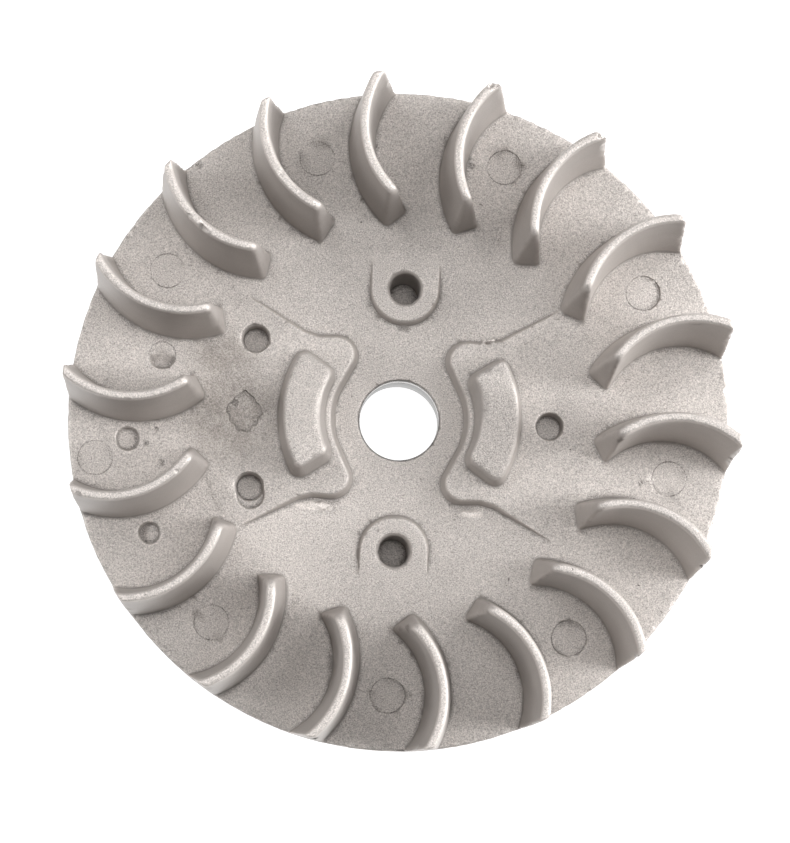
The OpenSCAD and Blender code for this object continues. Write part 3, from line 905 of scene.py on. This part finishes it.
def skin_patches(s):
    """The bright skins of flash beside a platform."""
    skins = [s.patch(cx, cy, 0.7, 1.1, (1 / half_l, 1 / half_w)) for cx, cy, half_l, half_w in FLASH_SKINS]
    return s.times(s.largest(*skins), s.ramp(s.nz, 0.2, 0.5))


def stain_patch(s):
    """The dark stain round the gate mark."""
    patches = s.largest(
        s.patch(-25.5, -0.5, 3.0, 9.5, (1.0, 0.95)),
        s.patch(-27.0, 8.0, 1.0, 8.0, (1.0, 1.5)),
    )
    cloudy = s.ramp(s.noise(0.35, 3, 0.6, shift=(4, 4, 1)), 0.25, 0.58, 0.35, 1.0)
    return s.times(patches, cloudy, s.ramp(s.nz, -0.2, 0.3), 0.85)


def machined_faces(s):
    """Masks of all machined faces and of the bore alone, and the height of the tool's lines."""
    below_lip = s.ramp(s.z, EDGE_BACK_Z - 0.1, EDGE_BACK_Z, 1.0, 0.0)
    turned_side = s.times(s.ramp(s.r, RIM_R - 0.12, RIM_R - 0.05), below_lip)
    faced_back = s.ramp(s.z, 0.05, 0.12, 1.0, 0.0)
    bored = s.ramp(s.r, BORE_R + 0.1, BORE_R + 0.35, 1.0, 0.0)
    tool_lines = s.add(
        s.times(s.noise(1.0, 1, 0.5, stretch=(0.02, 0.02, 6)), s.math("SUBTRACT", 1.0, faced_back)),
        s.times(s.math("SINE", s.times(s.r, 30.0)), faced_back, 0.2),
    )
    return s.largest(turned_side, faced_back, bored), bored, tool_lines


def mark_lines(s, rings, gate):
    """Mask of the thin dark lines round the marks in the face."""
    pins = [s.ring(*polar(r, a), hole_r + 0.12, 0.16) for r, a, hole_r in PIN_MARKS + CORED_HOLES[1:]]
    lines = s.largest(rings, gate, *(s.times(pin, 0.8) for pin in pins))
    return s.times(lines, s.ramp(s.z, ANNULUS_Z + 0.4, ANNULUS_Z + 0.6, 1.0, 0.0), s.in_front())


def aluminium():
    """Grainy die-cast aluminium with its stains and marks, and its machined faces."""
    s = Shade("cast_aluminium")
    bend = s.bend()
    level = s.ramp(s.nz, 0.72, 0.97)
    grain = s.noise(5.2, 2, 0.65)
    coarse = s.noise(1.3, 2, 0.5, shift=(5, 5, 5))
    mottle = s.noise(0.11, 3, 0.55, shift=(2, 7, 4))
    light_specks = s.ramp(s.noise(4.6, 1, 0.5, shift=(11, 3, 7)), 0.60, 0.72)
    dark_specks = s.ramp(s.noise(3.6, 1, 0.5, shift=(1, 13, 2)), 0.62, 0.76)
    pits = s.ramp(s.noise(0.9, 2, 0.6, shift=(21, 4, 9)), 0.74, 0.80)
    # lighter and smoother on edges: partly rubbed wear, partly a painted highlight
    edge = s.ramp(bend, 0.25, 1.3)
    # painted shade: the colour is darkened where the surface bends inward, in corners and creases; the
    # surface is also rougher there
    corner_shade = s.ramp(bend, -0.15, -1.1)
    spots = dark_spots(s, level)
    rings, discs = ejector_rings(s)
    gate, gate_inside = gate_line(s)
    lines = mark_lines(s, rings, gate)
    machined, bored, tool_lines = machined_faces(s)
    cast = s.math("SUBTRACT", 1.0, machined)

    tone = s.add(
        0.98,
        s.times(s.spread(grain, 1.1), s.add(0.2, s.times(level, 0.8))),
        s.spread(mottle, 0.10),
        s.times(light_specks, level, 0.16),
        s.times(dark_specks, level, -0.14),
        s.times(pits, level, -0.32),
        s.times(edge, 0.26),
        # painted shade in the corners and creases
        s.times(corner_shade, -0.26),
        s.times(lines, -0.36),
        s.times(spots, -0.34),
        s.times(skin_patches(s), 0.34),
        # painted highlight: the colour is lighter along the blade tops
        s.ramp(s.z, BLADE_TOP_Z - 1.0, BLADE_TOP_Z - 0.3, 0.0, 0.12),
        # painted light: faces that point up are made a little lighter
        s.times(level, 0.03),
    )
    base = s.toned((0.47, 0.435, 0.41), tone)
    stained = s.mix(stain_patch(s), base, s.toned((0.30, 0.27, 0.245), tone))
    machined_tone = s.add(0.85, s.times(tool_lines, 0.25), s.times(bored, 0.5))
    colour = s.mix(machined, stained, s.toned((0.46, 0.45, 0.44), machined_tone))
    metallic = s.add(0.42, s.times(machined, 0.5))
    roughness = s.add(
        0.52, s.times(machined, -0.2), s.spread(grain, 0.08), s.times(edge, -0.1), s.times(corner_shade, 0.12),
    )
    height = s.add(
        s.times(grain, cast, s.add(0.02, s.times(level, 0.045))),
        s.times(coarse, cast, s.add(0.015, s.times(level, 0.035))),
        s.times(lines, -0.05),
        s.times(s.largest(spots, pits), -0.12),
        s.times(discs, s.noise(1.6, 2, 0.6, shift=(3, 6, 2)), 0.02),
        s.times(gate_inside, s.noise(1.6, 2, 0.6, shift=(6, 6, 6)), 0.14),
        s.times(tool_lines, machined, 0.012),
    )
    return s.finish(colour, metallic, roughness, height)


def steel(name, colour, roughness, stretch, grain_scale, rust=0.0):
    """Steel with fine lines and, where asked for, patches of rust."""
    s = Shade(name)
    fine = s.noise(1.0, 2, 0.5, stretch=stretch, shift=(3, 1, 4))
    grain = s.noise(grain_scale, 3, 0.6)
    patches = s.noise(0.35, 3, 0.6, shift=(8, 2, 5))
    tone = s.add(0.95, s.spread(fine, 0.18), s.spread(grain, 0.12), s.spread(patches, 0.12))
    clean = s.toned(colour, tone)
    worn = s.times(s.ramp(patches, 0.52, 0.72), rust)
    tinted = s.mix(worn, clean, s.toned((0.16, 0.09, 0.055), tone))
    rough = s.add(roughness, s.spread(grain, 0.1), s.times(worn, 0.25))
    height = s.add(s.times(fine, 0.012), s.times(grain, 0.015))
    return s.finish(tinted, 0.9, rough, height)


def bush_steel():
    """Turned steel with tool rings, brighter at its edges and with painted shade in its corners."""
    s = Shade("bush_steel")
    # painted shade: the colour is darkened in the corners, which are also rougher
    edge, corner_shade = s.ramp(s.bend(), 0.4, 1.6), s.ramp(s.bend(), -0.3, -1.5)
    rings = s.math("SINE", s.times(s.r, 26.0))
    turned_lines = s.noise(1.0, 1, 0.5, stretch=(0.03, 0.03, 7))
    grain = s.noise(3.0, 3, 0.6)
    tone = s.add(0.95, s.times(rings, 0.04), s.spread(turned_lines, 0.12), s.spread(grain, 0.14),
                 s.times(edge, 0.3), s.times(corner_shade, -0.35))
    rough = s.add(0.36, s.spread(grain, 0.12), s.times(corner_shade, 0.2))
    height = s.add(s.times(rings, 0.004), s.times(turned_lines, 0.012), s.times(grain, 0.01))
    return s.finish(s.toned((0.36, 0.355, 0.35), tone), 0.95, rough, height)


def magnet_material():
    """Dark grainy magnet, brighter at its edges."""
    s = Shade("magnet")
    edge = s.ramp(s.bend(), 0.4, 1.6)
    grain = s.noise(2.4, 4, 0.7)
    patches = s.noise(0.4, 3, 0.6, shift=(1, 1, 6))
    tone = s.add(0.9, s.spread(grain, 0.3), s.spread(patches, 0.15), s.times(edge, 0.45))
    rough = s.add(0.62, s.spread(grain, 0.15))
    return s.finish(s.toned((0.10, 0.10, 0.105), tone), 0.55, rough, s.times(grain, 0.05))


# ---------------------------------------------------------------- stage, light and camera


def floor():
    """The white ground, which lights itself."""
    bpy.ops.mesh.primitive_grid_add(x_subdivisions=8, y_subdivisions=8, size=3)
    piece = bpy.context.object
    piece.name = "floor"
    piece.location.z = LOW[2] * MM - 0.0002
    material = bpy.data.materials.new("floor_white")
    material.use_nodes = True
    shader = material.node_tree.nodes["Principled BSDF"]
    shader.inputs["Base Color"].default_value = (0.3, 0.3, 0.3, 1)
    shader.inputs["Roughness"].default_value = 0.9
    shader.inputs["Emission Color"].default_value = (1, 1, 1, 1)
    shader.inputs["Emission Strength"].default_value = 0.97
    piece.data.materials.append(material)


def area_light(name, place, size, power):
    """A round white soft box, aimed at the disc's face."""
    data = bpy.data.lights.new(name, "AREA")
    data.shape, data.size, data.energy = "DISK", size, power
    light = bpy.data.objects.new(name, data)
    light.location = place
    aim = Vector((0, 0, ANNULUS_Z * MM))
    light.rotation_euler = (aim - Vector(place)).to_track_quat("-Z", "Y").to_euler()
    bpy.context.scene.collection.objects.link(light)


# Soft boxes one metre off, as (name, direction, height in degrees, watts)
SOFT_BOXES = [
    ("right_low", 0, 14, 6.5), ("right", 0, 32, 4.4), ("right_back", 45, 32, 3.8), ("left", 180, 32, 3.8),
    ("right_high", 0, 62, 2.1), ("left_back_high", 135, 62, 2.1), ("top", 0, 89.9, 2.3),
]


def lights():
    """The soft boxes and a faint warm surround."""
    for name, direction, height, power in SOFT_BOXES:
        flat, up = math.cos(height * DEG), math.sin(height * DEG)
        x, y = polar(flat, direction)
        area_light(name, (x, y, ANNULUS_Z * MM + up), 0.45, power)
    world = bpy.data.worlds.new("studio")
    bpy.context.scene.world = world
    world.use_nodes = True
    background = world.node_tree.nodes["Background"]
    background.inputs["Color"].default_value = (1, 0.985, 0.97, 1)
    background.inputs["Strength"].default_value = 0.01
    bpy.context.scene.view_settings.view_transform = "Standard"


def camera():
    """Nearly straight above the disc, leaning a little toward -Y, and turned 2.5 degrees about Z."""
    tilt, side, roll = 5.98 * DEG, 71.7 * DEG, 2.5 * DEG
    distance, lens, frame_px = 0.411, 116.2, 843
    away = Vector((-math.sin(tilt) * math.cos(side), -math.sin(tilt) * math.sin(side), math.cos(tilt)))
    right = Vector((0, 1, 0)).cross(away).normalized()
    up = away.cross(right)
    turn = Matrix.Rotation(roll, 3, "Z")
    away, right, up = turn @ away, turn @ right, turn @ up
    data = bpy.data.cameras.new("photo_view")
    data.lens, data.sensor_width, data.sensor_fit = lens, 36, "AUTO"
    data.shift_x, data.shift_y = -4.8 / frame_px, -3.0 / frame_px
    data.clip_start = 0.01
    view = bpy.data.objects.new("photo_view", data)
    place = Matrix((right, up, away)).transposed().to_4x4()
    place.translation = Vector((0, 0, ANNULUS_Z * MM)) + away * distance
    view.matrix_world = place
    bpy.context.scene.collection.objects.link(view)
    bpy.context.scene.camera = view


# ---------------------------------------------------------------- the pieces


def piece_for(node, piece, material):
    """Puts a piece in a CAD node's place."""
    piece.data.materials.clear()
    piece.data.materials.append(material)
    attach(piece, "root")
    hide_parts(node)


camera()
lights()
floor()

casting = casting_solid().to_object("casting", 0.25)
piece_for("fan_casting", casting, aluminium())
piece_for("hub_bush", bush_solid().to_object("bush", 0.02), bush_steel())
piece_for("magnet", magnet_solid().to_object("magnet_block", 0.05), magnet_material())
rivet_steel = steel("rivet_steel", (0.50, 0.49, 0.48), roughness=0.38, stretch=(2, 2, 0.3), grain_scale=3.0)
piece_for("shoe_rivets", link_mesh("rivet_set", rivets_mesh()), rivet_steel)
sheet_steel = steel(
    "sheet_steel", (0.30, 0.30, 0.31), roughness=0.36, stretch=(0.05, 0.05, 7), grain_scale=2.5, rust=0.35,
)
rng = np.random.default_rng(7)
for shoe, side in (("leading", -1), ("trailing", 1)):
    for number in range(1, SHEET_COUNT + 1):
        name = f"{shoe}_sheet_{number}"
        mesh = sheet_mesh(name, side, STACK_Z + (number - 1) * SHEET_T, -float(rng.uniform(0.01, 0.05)))
        piece_for(f"{shoe}_shoe_sheet_{number}", link_mesh(name, mesh), sheet_steel)
